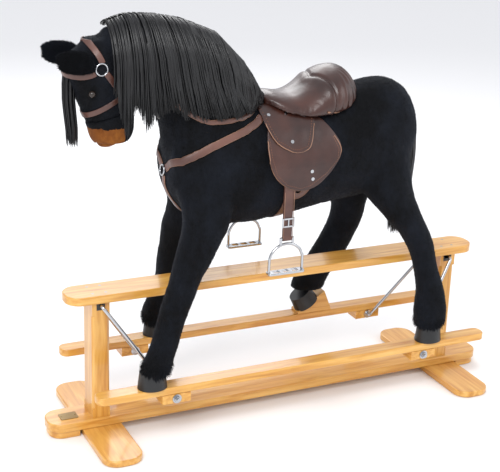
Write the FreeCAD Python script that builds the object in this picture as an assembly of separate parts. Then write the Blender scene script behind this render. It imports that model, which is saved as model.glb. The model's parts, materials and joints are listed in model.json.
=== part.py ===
import FreeCAD, Part
import math
import os

# A plush riding horse on a swinging safety stand.  Millimetres.
# +X is the way the horse faces, +Y is its left (near) side, +Z is up.
# The origin is the middle of the stand's base, on the floor.

# --- stand ---------------------------------------------------------------
BASE_LENGTH = 1300.0
BASE_WIDTH = 92.0
FOOT_THICK = 17.0
BEAM_THICK = 23.0
FOOT_LENGTH = 461.0
FOOT_WIDTH = 104.0
POST_AT = 514.0
POST_X = 46.0
POST_Y = 72.0
POST_CHAMFER = 6.0
BOARD_LENGTH = 1198.0
BOARD_WIDTH = 90.0
BOARD_THICK = 22.0
BOARD_TOP = 378.0
EDGE_ROUND = 3.0

# --- swing irons ---------------------------------------------------------
ROD_R = 4.5
BUSH_R = 4.55
TOP_PIVOT_Z = 349.0
LOW_PIVOT_AT = 363.0
LOW_PIVOT_Z = 130.0
ROD_BEND = 12.0
BAR_HALF = 51.0
SWING_SHIFT = 6.6
ARM_END_Y = 116.0
WASHER_R = 12.0
STUB_END_Y = 187.0

# --- carriage ------------------------------------------------------------
RAIL_Y = 151.0
RAIL_WIDTH = 46.0
RAIL_LENGTH = 1134.0
RAIL_THICK = 20.0
RAIL_TOP = 162.0
BLOCK_LENGTH = 76.0
BLOCK_THICK = 24.0
HOOF_HEIGHT = 34.0
WEDGE_HEIGHT = 46.0

# --- horse ---------------------------------------------------------------
BARREL_HALF_WIDTH = 118.0
BARREL_MID_Z = 682.0
TUBE_R = 9.0
EYE_R = 8.0
STRAP_GAP = 0.4
STRAP_THICK = 3.0
REIN_WIDTH = 10.0
COLLAR_WIDTH = 17.0
STRAP_LIFT = 0.5
SKIN_MESH = 0.5

# --- saddle and stirrups -------------------------------------------------
ARCH_HEIGHT = 151.4
FLAP_OFFSET = 12.0
FLAP_THICK = 3.5
SKIRT_OFFSET = FLAP_OFFSET + FLAP_THICK + 0.3
SKIRT_THICK = 3.5
LEATHER_X = 50.0
LEATHER_WIDTH = 26.0
LEATHER_Y0 = 122.5
LEATHER_Y1 = 128.5
LEATHER_TOP = 698.0
EYE_Z = 500.0
FAR_LEATHER_DROP = 12.0
IRON_HALF_WIDTH = 47.0
IRON_DROP = 88.0

V = FreeCAD.Vector
X_AXIS = V(1, 0, 0)
Y_AXIS = V(0, 1, 0)
Z_AXIS = V(0, 0, 1)
SIDES = {"near": 1, "far": -1}
ENDS = {"front": 1, "rear": -1}
WALL = 400.0
EYE_X = 538.0
EYE_HEIGHT = 888.0
parts = {}
skins = {}


# --- plain shapes --------------------------------------------------------
def box(x0, x1, y0, y1, z0, z1):
    return Part.makeBox(x1 - x0, y1 - y0, z1 - z0, V(x0, y0, z0))


def cylinder(centre, axis, radius, length):
    """A cylinder from centre along axis."""
    return Part.makeCylinder(radius, length, centre, axis)


def mirror_y(shape):
    return shape.mirror(V(0, 0, 0), Y_AXIS)


def fused(shapes):
    shapes = list(shapes)
    return shapes[0].multiFuse(shapes[1:]).removeSplitter() if len(shapes) > 1 else shapes[0]


def upright(edge):
    return abs(edge.tangentAt(edge.FirstParameter).z) > 0.99


def plank(centre, length, width, z0, thick, corner, edge=EDGE_ROUND):
    """A board lying flat, with rounded corners and softened edges."""
    cx, cy = centre
    body = box(cx - length / 2, cx + length / 2, cy - width / 2, cy + width / 2, z0, z0 + thick)
    body = body.makeFillet(corner, [e for e in body.Edges if upright(e)])
    flat = [e for e in body.Edges if e.BoundBox.ZLength < 0.01]
    return body.makeFillet(edge, flat)


def prism(points, y0, y1):
    """A closed outline in X and Z, drawn out from y0 to y1."""
    corners = [V(x, y0, z) for x, z in points]
    face = Part.Face(Part.makePolygon(corners + corners[:1]))
    return face.extrude(V(0, y1 - y0, 0))


def smooth_prism(points, y0, y1):
    """The same, with a smooth closed outline through the points."""
    curve = Part.BSplineCurve()
    curve.interpolate(Points=[V(x, y0, z) for x, z in points], PeriodicFlag=True)
    return Part.Face(Part.Wire(curve.toShape())).extrude(V(0, y1 - y0, 0))


def ribbon(points, width, y0=-WALL, y1=WALL):
    """A strip of one width about a smooth line in X and Z, drawn out along Y."""
    line = Part.BSplineCurve()
    line.interpolate([V(x, 0, z) for x, z in points])
    first, last = line.FirstParameter, line.LastParameter
    steps = 6 * len(points)
    left, right = [], []
    for i in range(steps + 1):
        u = first + (last - first) * i / steps
        at = line.value(u)
        ahead = line.tangent(u)[0]
        side = V(-ahead.z, 0, ahead.x) * (width / 2)
        left.append(at + side)
        right.append(at - side)
    edges = []
    for row in (left, right[::-1]):
        curve = Part.BSplineCurve()
        curve.interpolate([V(p.x, y0, p.z) for p in row])
        edges.append(curve.toShape())
    ends = [(left[-1], right[-1]), (right[0], left[0])]
    joins = [Part.LineSegment(V(a.x, y0, a.z), V(b.x, y0, b.z)).toShape() for a, b in ends]
    wire = Part.Wire([edges[0], joins[0], edges[1], joins[1]])
    return Part.Face(wire).extrude(V(0, y1 - y0, 0))


def rod(points, radius, bend):
    """A round bar through the points, with an arc of one radius at each bend."""
    edges = []
    start = points[0]
    for before, corner, after in zip(points, points[1:], points[2:]):
        back = (before - corner).normalize()
        ahead = (after - corner).normalize()
        half = back.getAngle(ahead) / 2
        cut = bend / math.tan(half)
        middle = (back + ahead).normalize()
        centre = corner + middle * (bend / math.sin(half))
        enter = corner + back * cut
        leave = corner + ahead * cut
        edges.append(Part.LineSegment(start, enter).toShape())
        edges.append(Part.Arc(enter, centre - middle * bend, leave).toShape())
        start = leave
    edges.append(Part.LineSegment(start, points[-1]).toShape())
    path = Part.Wire(edges)
    circle = Part.Wire(Part.Circle(points[0], points[1] - points[0], radius).toShape())
    return path.makePipeShell([circle], True, False)


def ring(centre, axis, radius, wire):
    return Part.makeTorus(radius, wire, centre, axis)


def bolt(base, axis, radius, length, head_radius, head):
    """A shank from base along axis, with its head behind the base."""
    shank = cylinder(base, axis, radius, length)
    return shank.fuse(cylinder(base - axis * head, axis, head_radius, head))


def wood_screw(top, axis, length):
    """A countersunk screw: its head's flat face is at top."""
    head = Part.makeCone(4.0, 1.9, 3.0, top, axis)
    return head.fuse(cylinder(top, axis, 1.9, length))


# --- soft forms ----------------------------------------------------------
def section(high, low, half_width, grow, y=0.0):
    """A closed oval through two points of the XZ plane, half_width wide each way."""
    middle = (V(high[0], y, high[1]) + V(low[0], y, low[1])) * 0.5
    along = V(high[0] - low[0], 0, high[1] - low[1])
    half = along.Length / 2 + grow
    along.normalize()
    turns = [2 * math.pi * i / 16 for i in range(16)]
    wide = half_width + grow
    points = [middle + along * (half * math.cos(a)) + Y_AXIS * (wide * math.sin(a)) for a in turns]
    curve = Part.BSplineCurve()
    curve.interpolate(Points=points, PeriodicFlag=True)
    return Part.Wire(curve.toShape())


def loft(sections, straight=False):
    return Part.makeLoft(sections, True, straight)


def oval_points(high, low, half_width, grow, count=24):
    """Points round an oval of the XZ plane, from low and back to it."""
    middle = (V(high[0], 0, high[1]) + V(low[0], 0, low[1])) * 0.5
    along = V(high[0] - low[0], 0, high[1] - low[1])
    half = along.Length / 2 + grow
    along.normalize()
    points = []
    for i in range(count):
        turn = 2 * math.pi * i / count
        points.append(middle - along * (half * math.cos(turn))
                      + Y_AXIS * ((half_width + grow) * math.sin(turn)))
    return points + points[:1]


def woven(rows):
    """A solid with one smooth side through rows of points and a flat face at each end.

    A plain loft turns strongly tilted ovals against each other and dents one side.
    """
    surface = Part.BSplineSurface()
    surface.interpolate(rows)
    first, last = surface.bounds()[:2]
    ends = [Part.Face(Part.Wire(surface.uIso(u).toShape())) for u in (first, last)]
    shell = Part.makeShell([surface.toShape()] + ends)
    shell.sewShape()
    solid = Part.makeSolid(shell)
    return solid if solid.Volume > 0 else solid.reversed()


def refined(rows, steps=3):
    """More rows between the given ones, on a smooth curve through them."""
    ends = [rows[0]] + list(rows) + [rows[-1]]
    out = []
    for p, q, r, s in zip(ends, ends[1:], ends[2:], ends[3:]):
        for i in range(steps):
            t = i / steps
            out.append([
                0.5 * (2 * b + (c - a) * t + (2 * a - 5 * b + 4 * c - d) * t * t
                       + (3 * b - a - 3 * c + d) * t ** 3)
                for a, b, c, d in zip(p, q, r, s)])
    return out + [list(rows[-1])]


# Each row of the torso: x, top, bottom, half width.
TORSO = [
    (-364, 772, 700, 34), (-352, 822, 652, 66), (-318, 858, 600, 96), (-264, 873, 570, 112),
    (-200, 864, 556, 117), (-115, 842, 549, 118), (-36, 828, 536, 118), (56, 829, 524, 118),
    (130, 846, 517, 115), (200, 850, 522, 108), (262, 832, 545, 98), (308, 800, 585, 82),
    (334, 752, 635, 54),
]
# Each row of the neck and the head: crest x, crest z, throat x, throat z, half width.
NECK = [
    (60, 800, 290, 620, 80), (128, 893, 326, 680, 84), (190, 962, 341, 742, 78),
    (268, 1010, 352, 797, 72), (350, 1032, 378, 850, 66), (440, 1036, 400, 885, 62),
    (495, 1018, 462, 912, 56),
]
HEAD = [
    (541, 1009, 468, 1008, 34), (586, 962, 440, 985, 56), (588, 925, 428, 950, 64),
    (566, 880, 424, 915, 62), (547, 838, 424, 873, 54), (533, 800, 420, 828, 48),
    (524, 772, 420, 790, 45), (500, 748, 434, 764, 34),
]


def torso_form(grow):
    rows = [section((x, top), (x, low), half, grow) for x, top, low, half in TORSO]
    return loft(rows)


def neck_form(grow):
    return woven([oval_points((a, b), (c, d), half, grow) for a, b, c, d, half in NECK])


def head_form(grow):
    return loft([section((a, b), (c, d), half, grow) for a, b, c, d, half in HEAD])


# Each row of a leg: z, front x, back x, centre y, half width, from the body to the fetlock.
LEGS = {
    "near_fore": [(705, 310, 205, 34, 36), (640, 326, 182, 58, 50), (560, 315, 190, 84, 50),
                  (480, 340, 240, 102, 43),
                  (420, 362, 280, 114, 37), (370, 384, 306, 124, 36), (310, 404, 334, 134, 34),
                  (255, 428, 354, 144, 34), (222, 446, 368, 150, 38), (196, 452, 376, 151, 36)],
    "far_fore": [(705, 305, 200, -34, 36), (640, 312, 178, -58, 50), (560, 290, 185, -84, 50),
                 (480, 300, 208, -102, 43),
                 (420, 304, 220, -114, 37), (344, 306, 232, -126, 36), (277, 322, 250, -138, 35),
                 (232, 336, 256, -148, 38), (196, 332, 256, -151, 36)],
    "near_hind": [(690, -170, -335, 52, 58), (587, -196, -342, 76, 52), (526, -248, -360, 94, 45),
                  (467, -300, -388, 108, 40), (415, -330, -402, 120, 35), (358, -345, -412, 130, 35),
                  (300, -350, -432, 140, 37), (240, -343, -436, 149, 40), (204, -350, -428, 151, 38)],
    "far_hind": [(690, -160, -330, -52, 58), (587, -172, -325, -76, 52), (500, -206, -306, -98, 45),
                 (440, -206, -304, -112, 41), (397, -186, -290, -120, 38), (338, -158, -265, -130, 38),
                 (275, -124, -228, -142, 39), (236, -116, -212, -148, 39)],
}
# Each hoof: centre x, centre y, lean of its sole in degrees, bolt x.
HOOVES = {
    "near_fore": (420.0, 151.0, 0.0, 424.0),
    "far_fore": (294.0, -151.0, 0.0, 290.0),
    "near_hind": (-389.0, 151.0, 0.0, -413.0),
    "far_hind": (-166.0, -148.0, 33.0, -166.0),
}


def leg_form(name):
    rows = refined(LEGS[name])
    return loft([section((a, z), (b, z), half, 0.0, y) for z, a, b, y, half in rows], True)


def hoof_form(name):
    """A block that widens to its sole, standing on the rail or on the wedge."""
    x, y, lean, _ = HOOVES[name]
    top = Part.Wire(Part.Ellipse(V(x, y, RAIL_TOP + HOOF_HEIGHT + 8), 33, 29).toShape())
    sole = Part.Wire(Part.Ellipse(V(x, y, RAIL_TOP), 38, 32).toShape())
    hoof = Part.makeLoft([sole, top], True, True)
    if lean:
        hoof.translate(V(0, 0, WEDGE_HEIGHT - 22.0))
        hoof.rotate(V(x, y, RAIL_TOP + WEDGE_HEIGHT - 22.0), Y_AXIS, lean)
    return hoof


# --- the stand -----------------------------------------------------------
def make_stand():
    beam_top = FOOT_THICK + BEAM_THICK
    post_top = BOARD_TOP - BOARD_THICK
    parts["base_beam"] = plank((0, 0), BASE_LENGTH, BASE_WIDTH, FOOT_THICK, BEAM_THICK, 38)
    parts["top_board"] = plank((0, 0), BOARD_LENGTH, BOARD_WIDTH, post_top, BOARD_THICK, 40)
    nose = plank((0, 0), BASE_LENGTH - 8, BASE_WIDTH - 8, 0, FOOT_THICK, 34, 1.5)
    gap = POST_AT + FOOT_WIDTH / 2 + 7
    parts["end_blocks"] = nose.cut(box(-gap, gap, -WALL, WALL, -1, FOOT_THICK + 1))
    bearings, screws, bolts = [], [], []
    for name, end in ENDS.items():
        at = end * POST_AT
        foot = plank((at, 0), FOOT_WIDTH, FOOT_LENGTH, 0, FOOT_THICK, 40)
        post = box(at - POST_X / 2, at + POST_X / 2, -POST_Y / 2, POST_Y / 2, beam_top, post_top)
        post = post.cut(stopped_chamfers(at, beam_top + 24, post_top - 34))
        notch = 11.0 if end > 0 else 13.0
        block = box(at - notch, at + notch, -POST_Y / 2, POST_Y / 2, post_top - 20, post_top)
        if end < 0:
            block = block.translated(V(1.5, 0, 0))
        post = post.cut(block)
        bearings.append(block.cut(bearing_hole(end)))
        for dx in (-17, 17):
            for dy in (-24, 24):
                screws.append(wood_screw(V(at + dx, dy, BOARD_TOP), -Z_AXIS, 62))
        for dy in (-20, 20):
            bolts.append(bolt(V(at, dy, 9), Z_AXIS, 4, 92, 8, 5))
        parts[name + "_foot"] = foot
        parts[name + "_post"] = post
    screws = Part.makeCompound(screws)
    bolts = Part.makeCompound(bolts)
    wells = [cylinder(V(e * POST_AT, dy, -1), Z_AXIS, 8, 10) for e in (1, -1) for dy in (-20, 20)]
    for name in ("front_foot", "rear_foot"):
        parts[name] = parts[name].cut(Part.makeCompound(wells)).cut(bolts)
    parts["base_beam"] = parts["base_beam"].cut(bolts)
    parts["top_board"] = parts["top_board"].cut(screws)
    for name in ("front_post", "rear_post"):
        parts[name] = parts[name].cut(bolts).cut(screws)
    parts["post_bearings"] = Part.makeCompound(bearings)
    parts["top_board_screws"] = screws
    parts["post_bolts"] = bolts
    plate = plank((592, 2), 46, 34, beam_top, 1.6, 4, 0.5)
    pins = [Part.makeSphere(2.0, V(592 + dx, 2, beam_top + 1.2)) for dx in (-18, 18)]
    above = box(500, 650, -50, 50, beam_top, beam_top + 9)
    parts["name_plate"] = fused([plate] + [pin.common(above) for pin in pins])


def stopped_chamfers(at, z0, z1):
    """Wedges that take the corners off a post, short of its ends."""
    size = POST_CHAMFER * math.sqrt(2)
    cuts = []
    for sx in (-1, 1):
        for sy in (-1, 1):
            corner = V(at + sx * POST_X / 2, sy * POST_Y / 2, z0)
            cut = Part.makeBox(size, size, z1 - z0, V(-size / 2, -size / 2, 0))
            cut.rotate(V(0, 0, 0), Z_AXIS, 45)
            cuts.append(cut.translated(corner))
    return Part.makeCompound(cuts)


def bearing_hole(end):
    """Round at the front; at the rear a slot, which lets the linkage close."""
    at = V(end * POST_AT, -POST_Y, TOP_PIVOT_Z)
    if end > 0:
        return cylinder(at, Y_AXIS, BUSH_R, 2 * POST_Y)
    free = 0.7
    low = TOP_PIVOT_Z - ROD_R - free
    high = TOP_PIVOT_Z + ROD_R + free
    return box(at.x - ROD_R - free, at.x + ROD_R + SWING_SHIFT + free, -POST_Y, POST_Y, low, high)


# --- the swing irons -----------------------------------------------------
def make_irons():
    for name, end in ENDS.items():
        top = end * POST_AT
        low = end * LOW_PIVOT_AT
        right = [V(low, STUB_END_Y, LOW_PIVOT_Z), V(low, ARM_END_Y, LOW_PIVOT_Z),
                 V(top, BAR_HALF, TOP_PIVOT_Z)]
        left = [V(p.x, -p.y, p.z) for p in right[::-1]]
        parts[name + "_swing_iron"] = rod(right + left, ROD_R, ROD_BEND)
        pieces = []
        for side in (1, -1):
            along = Y_AXIS * side
            inner = V(low, side * 125.6, LOW_PIVOT_Z)
            outer = V(low, side * (RAIL_Y + RAIL_WIDTH / 2 + 0.4), LOW_PIVOT_Z)
            for at, thick in ((inner, 2.0), (outer, 2.0)):
                washer = cylinder(at, along, WASHER_R, thick)
                pieces.append(washer.cut(cylinder(at, along, ROD_R, thick)))
            nut = hexagon(outer + along * 2.0, along, 8.0, 7.0)
            pieces.append(nut.cut(cylinder(outer + along * 2.0, along, ROD_R, 7.0)))
        parts[name + "_iron_nuts"] = Part.makeCompound(pieces)


def hexagon(base, axis, radius, height):
    corners = []
    for i in range(7):
        angle = math.radians(60 * i + 15)
        corners.append(base + V(radius * math.cos(angle), 0, radius * math.sin(angle)))
    return Part.Face(Part.makePolygon(corners)).extrude(axis * height)


# --- rails, pivot blocks, wedge ------------------------------------------
def make_rails():
    underside = RAIL_TOP - RAIL_THICK
    bushes, screws, bolts = [], [], []
    blocks = {"front": [], "rear": []}
    for name, side in SIDES.items():
        y = side * RAIL_Y
        parts[name + "_rail"] = plank((0, y), RAIL_LENGTH, RAIL_WIDTH, underside, RAIL_THICK, 20)
        for end_name, end in ENDS.items():
            at = end * LOW_PIVOT_AT
            block = box(at - BLOCK_LENGTH / 2, at + BLOCK_LENGTH / 2, y - RAIL_WIDTH / 2,
                        y + RAIL_WIDTH / 2, underside - BLOCK_THICK, underside)
            low = V(at, y - RAIL_WIDTH / 2, LOW_PIVOT_Z)
            sleeve = cylinder(low, Y_AXIS, 7.0, RAIL_WIDTH)
            block = block.cut(sleeve)
            bushes.append(sleeve.cut(cylinder(low, Y_AXIS, BUSH_R, RAIL_WIDTH)))
            for dx in (-28, 28):
                top = V(at + dx, y, underside - BLOCK_THICK)
                screws.append(wood_screw(top, Z_AXIS, 40))
            blocks[end_name].append(block)
    for x, y, _, bolt_x in HOOVES.values():
        side = math.copysign(RAIL_Y, y)
        bolts.append(bolt(V(bolt_x, side, underside), Z_AXIS, 4, 40, 8, 5))
    screws = Part.makeCompound(screws)
    bolts = Part.makeCompound(bolts)
    for name in SIDES:
        parts[name + "_rail"] = parts[name + "_rail"].cut(screws).cut(bolts)
    for name, pair in blocks.items():
        parts[name + "_pivot_blocks"] = Part.makeCompound([b.cut(screws) for b in pair])
    parts["pivot_bushes"] = Part.makeCompound(bushes)
    parts["block_screws"] = screws
    parts["hoof_bolts"] = bolts
    x, y, lean, _ = HOOVES["far_hind"]
    width = RAIL_WIDTH - 4
    run = WEDGE_HEIGHT + 8
    outline = [(-132, RAIL_TOP), (-132, RAIL_TOP + 6), (-132 - run / math.tan(math.radians(lean)),
               RAIL_TOP + 6 + run), (-240, RAIL_TOP)]
    wedge = prism(outline, -RAIL_Y - width / 2, -RAIL_Y + width / 2)
    parts["hoof_wedge"] = wedge.cut(bolts)


# --- the horse -----------------------------------------------------------
def frame_tubes():
    """The welded frame inside: a spine, a neck tube and a leg tube to each hoof."""
    shoulder = V(230, 0, 700)
    hip = V(-250, 0, 720)
    poll = V(520, 0, 975)
    tubes = [(V(-290, 0, 720), hip), (hip, shoulder), (shoulder, poll)]
    for name, rows in LEGS.items():
        z0, a0, b0, y0, _ = rows[1]
        z1, a1, b1, y1, _ = rows[4]
        z2, a2, b2, y2, _ = rows[-1]
        joint = shoulder if "fore" in name else hip
        top = V((a0 + b0) / 2, y0 * 0.9, z0)
        knee = V((a1 + b1) / 2, y1, z1)
        foot = V((a2 + b2) / 2, y2, z2 + 4)
        tubes += [(joint, top), (top, knee), (knee, foot)]
    solids = []
    for a, b in tubes:
        run = b - a
        solids.append(cylinder(a, run, TUBE_R, run.Length))
        solids.append(Part.makeSphere(TUBE_R, a))
        solids.append(Part.makeSphere(TUBE_R, b))
    return fused(solids)


def make_horse(torso, neck, head):
    frame = frame_tubes()
    parts["inner_frame"] = frame
    parts["torso"] = torso.cut(frame)
    parts["neck"] = biggest(neck.cut(torso).cut(frame))
    snout = box(380, 600, -100, 100, 700, 812)
    snout.rotate(V(520, 0, 812), Y_AXIS, 18)
    eyes = Part.makeCompound([Part.makeSphere(EYE_R, V(EYE_X, s * 56, EYE_HEIGHT)) for s in (1, -1)])
    ear = ear_form()
    ears = Part.makeCompound([ear.cut(head), mirror_y(ear).cut(head)])
    bare = head.cut(neck).cut(eyes).cut(frame)
    parts["head"] = bare.cut(snout)
    parts["muzzle"] = bare.common(snout)
    parts["eyes"] = eyes
    parts["ears"] = ears
    hooves = {"fore": [], "hind": []}
    bolts = parts["hoof_bolts"]
    for name in LEGS:
        hoof = hoof_form(name).cut(bolts)
        leg = leg_form(name).cut(torso).cut(frame)
        leg = leg.cut(hoof_form(name)).cut(bolts)
        hooves[name.split("_")[1]].append(hoof.cut(frame).cut(parts["hoof_wedge"]))
        parts[name + "_leg"] = leg
    for name, pair in hooves.items():
        parts[name + "_hooves"] = Part.makeCompound(pair)


def ear_form():
    """A leaf-shaped ear that points forward."""
    rows = [(530, 975, 941, 57, 9), (550, 988, 938, 63, 10), (580, 992, 938, 66, 9),
            (608, 990, 946, 64, 7), (622, 982, 958, 62, 4)]
    return loft([section((x, top), (x, low), half, 0.0, y) for x, top, low, y, half in rows])


# Each row of the mane: x, top, hem, half width.
MANE = [
    (99, 872, 846, 50), (150, 948, 832, 92), (220, 1014, 828, 100), (300, 1046, 836, 98),
    (380, 1062, 858, 92), (430, 1064, 800, 88), (462, 1058, 794, 86), (488, 1048, 880, 82),
]
MANE_THICK = 14.0


def curtain(x, top, hem, wide):
    """The mane's section: over the crest from the far side, and down the near side."""
    mid = max(hem, top - 130)
    outer, inner = [], []
    for i in range(8):
        turn = math.radians(-28 + 118 * i / 7)
        across, up = math.sin(turn), math.cos(turn)
        outer.append(V(x, wide * across, mid + (top - mid) * up))
        inner.append(V(x, (wide - MANE_THICK) * across, mid + (top - MANE_THICK - mid) * up))
    outer.append(V(x, wide, hem - 1))
    inner.append(V(x, wide - MANE_THICK, hem - 1))
    return Part.makePolygon(outer + inner[::-1] + outer[:1])


def make_hair():
    parts["mane"] = Part.makeLoft([curtain(*row) for row in MANE], True, True)
    lock = loft([section((x + 20, z), (x - 16, z), 20, 0.0) for x, z in
                 ((572, 950), (582, 900), (574, 840), (566, 790), (563, 752))])
    parts["forelock"] = biggest(lock.cut(head_form(STRAP_GAP + STRAP_THICK + 1)))
    tail_rows = [(800, -322, -368, 20), (740, -340, -388, 30), (660, -345, -392, 36),
                 (580, -335, -388, 36), (500, -325, -380, 30), (425, -328, -366, 18)]
    tail = loft([section((a, z), (b, z), half, 0.0) for z, a, b, half in tail_rows])
    parts["tail"] = biggest(tail.cut(torso_form(1.0)))


def biggest(shape):
    return max(shape.Solids, key=lambda s: s.Volume)


# --- the tack ------------------------------------------------------------
def arch_size(grow):
    """The arch's half width, and its height above its widest line."""
    return BARREL_HALF_WIDTH + grow, ARCH_HEIGHT + 0.3 * grow


def saddle_form(grow, x0=-215.0, x1=150.0):
    """An arch over the back: round above the widest line, upright below it."""
    wide, tall = arch_size(grow)
    foot_z = 560.0
    points = []
    for i in range(13):
        angle = math.pi * i / 12
        points.append(V(x0, wide * math.cos(angle), BARREL_MID_Z + tall * math.sin(angle)))
    arch = Part.BSplineCurve()
    arch.interpolate(points, InitialTangent=V(0, 0, 1), FinalTangent=V(0, 0, -1))
    a, b = V(x0, -wide, foot_z), V(x0, wide, foot_z)
    lines = [Part.LineSegment(points[-1], a), Part.LineSegment(a, b), Part.LineSegment(b, points[0])]
    wire = Part.Wire([arch.toShape()] + [line.toShape() for line in lines])
    return Part.Face(wire).extrude(V(x1 - x0, 0, 0))


def arch_band(grow, thick):
    return saddle_form(grow + thick).cut(saddle_form(grow))


FLAP = [(100, 790), (112, 745), (108, 705), (90, 665), (58, 637), (22, 625), (-12, 629),
        (-50, 654), (-82, 695), (-92, 732), (-74, 768), (-45, 800), (20, 812)]
SKIRT = [(112, 822), (108, 790), (92, 757), (62, 733), (28, 725), (-2, 735), (-20, 775),
         (-32, 818), (30, 832)]


def make_saddle():
    seat_rows = [(106, 846, 800, 22), (88, 855, 790, 50), (50, 852, 778, 80), (5, 848, 770, 94),
                 (-45, 872, 764, 102), (-90, 904, 762, 100), (-130, 909, 766, 88),
                 (-162, 890, 780, 66), (-190, 856, 800, 34)]
    seat = loft([section((x, top), (x, low), half, 0.0) for x, top, low, half in seat_rows])
    arch = saddle_form(SKIRT_OFFSET + SKIRT_THICK + 0.3)
    rivets, flaps, skirts, panels = [], {}, {}, []
    for name, side in SIDES.items():
        near = 0 if side > 0 else -WALL
        half = box(-WALL, WALL, near, near + WALL, 500, 1000)
        flap = smooth_prism(FLAP, -WALL, WALL).common(arch_band(FLAP_OFFSET, FLAP_THICK))
        flaps[name] = flap.common(half)
        skirt = smooth_prism(SKIRT, -WALL, WALL).common(arch_band(SKIRT_OFFSET, SKIRT_THICK))
        skirts[name] = skirt.common(half)
        panel = smooth_prism(shrunk(FLAP, 0.9), -WALL, WALL).common(arch_band(1.0, FLAP_OFFSET - 1.3))
        panels.append(panel.common(half).common(box(-WALL, WALL, -WALL, WALL, 716, 1000)))
        for x, z in ((92, 812), (44, 812), (-5, 806), (46, 752)):
            rivets.append(rivet(x, z, side, SKIRT_OFFSET + SKIRT_THICK))
        for x, z in ((-8, 674), (-11, 654)):
            rivets.append(rivet(x, z, side, FLAP_OFFSET + FLAP_THICK))
    rivets = Part.makeCompound(rivets)
    torso = torso_form(0.5)
    for name in SIDES:
        parts[name + "_flap"] = biggest(flaps[name].cut(rivets))
        parts[name + "_skirt"] = biggest(skirts[name].cut(rivets))
    parts["saddle_panels"] = Part.makeCompound([biggest(p.cut(torso)) for p in panels])
    parts["saddle_rivets"] = rivets
    parts["saddle_seat"] = biggest(seat.cut(arch).cut(torso).cut(rivets))


def shrunk(outline, factor):
    cx = sum(p[0] for p in outline) / len(outline)
    cz = sum(p[1] for p in outline) / len(outline)
    return [(cx + (x - cx) * factor, cz + (z - cz) * factor) for x, z in outline]


def rivet(x, z, side, offset):
    """A domed stud whose shank is 2 mm long in the leather at that place."""
    wide, tall = arch_size(offset)
    rise = max(0.0, (z - BARREL_MID_Z) / tall)
    y = wide * math.sqrt(1 - rise * rise)
    slope = math.atan2(y / wide ** 2, rise / tall)
    out = V(0, side * math.sin(slope), math.cos(slope))
    base = V(x, side * y, z) - out * 2.0
    return cylinder(base, out, 1.8, 2.2).fuse(cylinder(base + out * 2.0, out, 4.5, 1.6))


def worn(strip, forms):
    """A strap that lies on the horse: the strip, just outside the forms given."""
    bands = []
    for form in forms:
        band = strip.common(skins[form, "outer"])
        for other in forms:
            band = band.cut(skins[other, "inner"])
        bands += [s for s in band.Solids if s.Volume > 60]
    return fused(bands)


def sizeable(shape, volume=400.0):
    return [s for s in shape.Solids if s.Volume > volume]


def make_tack():
    for form in (torso_form, neck_form, head_form):
        skins[form, "inner"] = form(STRAP_GAP)
        skins[form, "outer"] = form(STRAP_GAP + STRAP_THICK)
    girth = worn(ribbon([(26, 740), (33, 660), (38, 590), (40, 500)], 25), [torso_form])
    parts["girth"] = biggest(girth.cut(parts["saddle_panels"]))
    skin = skin_triangles()
    parts["reins"] = laid_reins(skin)
    collar = laid_collar(skin)
    lower = worn(box(50, WALL, -8.5, 8.5, 480, 660), [torso_form]).cut(parts["girth"])
    chest = ring(V(341, 0, 673), V(1, 0, 0.1), 13.0, 2.2)
    straps = collar + [biggest(lower)]
    parts["breast_straps"] = Part.makeCompound([s.cut(chest) for s in straps])
    cheek = [ring(V(517, s * 65, 946), Y_AXIS, 14.0, 1.9) for s in (1, -1)]
    bridle = {
        "crownpiece": ([(514, 960), (522, 978), (534, 1000), (548, 1030)], 15),
        "browband": ([(532, 938), (566, 928), (600, 931), (640, 940)], 15),
        "throat_strap": ([(506, 936), (492, 918), (476, 896), (440, 850)], 15),
        "noseband": ([(590, 803), (543, 830), (516, 846), (477, 870), (400, 910)], 13),
    }
    taken = Part.makeCompound(cheek)
    for name, (line, width) in bridle.items():
        band = worn(ribbon(line, width), [head_form]).cut(taken).cut(parts["ears"])
        pieces = sizeable(band, 300.0)
        parts[name] = Part.makeCompound(pieces)
        taken = Part.makeCompound([taken] + pieces)
    rings = [chest.cut(torso_form(0.0))] + [r.cut(head_form(0.0)) for r in cheek]
    parts["tack_rings"] = Part.makeCompound(rings)


def skinned(rows):
    """A closed solid through rows of four corners, faced with flat triangles."""
    triangles = []
    for low, high in zip(rows, rows[1:]):
        for i in range(4):
            j = (i + 1) % 4
            triangles += [(low[i], low[j], high[j]), (low[i], high[j], high[i])]
    for a, b, c, d in (rows[0][::-1], rows[-1]):
        triangles += [(a, b, c), (a, c, d)]
    shell = Part.makeShell([Part.Face(Part.makePolygon([*t, t[0]])) for t in triangles])
    shell.sewShape()
    solid = Part.makeSolid(shell)
    return solid if solid.Volume > 0 else solid.reversed()


def skin_triangles():
    """Flat triangles, as corner tuples, of the skin a strap lies on."""
    triangles = []
    for form in (torso_form, neck_form):
        points, faces = skins[form, "inner"].tessellate(SKIN_MESH)
        triangles += [[tuple(points[i]) for i in face] for face in faces]
    return triangles


def reach(triangles, a, b, u, v):
    """The furthest the skin reaches at u, v in the plane of coordinates a and b."""
    out = 3 - a - b
    best = 0.0
    for p, q, r in triangles:
        area = (q[a] - p[a]) * (r[b] - p[b]) - (r[a] - p[a]) * (q[b] - p[b])
        if abs(area) < 1e-9:
            continue
        s = ((u - p[a]) * (r[b] - p[b]) - (r[a] - p[a]) * (v - p[b])) / area
        t = ((q[a] - p[a]) * (v - p[b]) - (u - p[a]) * (q[b] - p[b])) / area
        if s >= 0 and t >= 0 and s + t <= 1:
            best = max(best, p[out] + s * (q[out] - p[out]) + t * (r[out] - p[out]))
    return best


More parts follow.
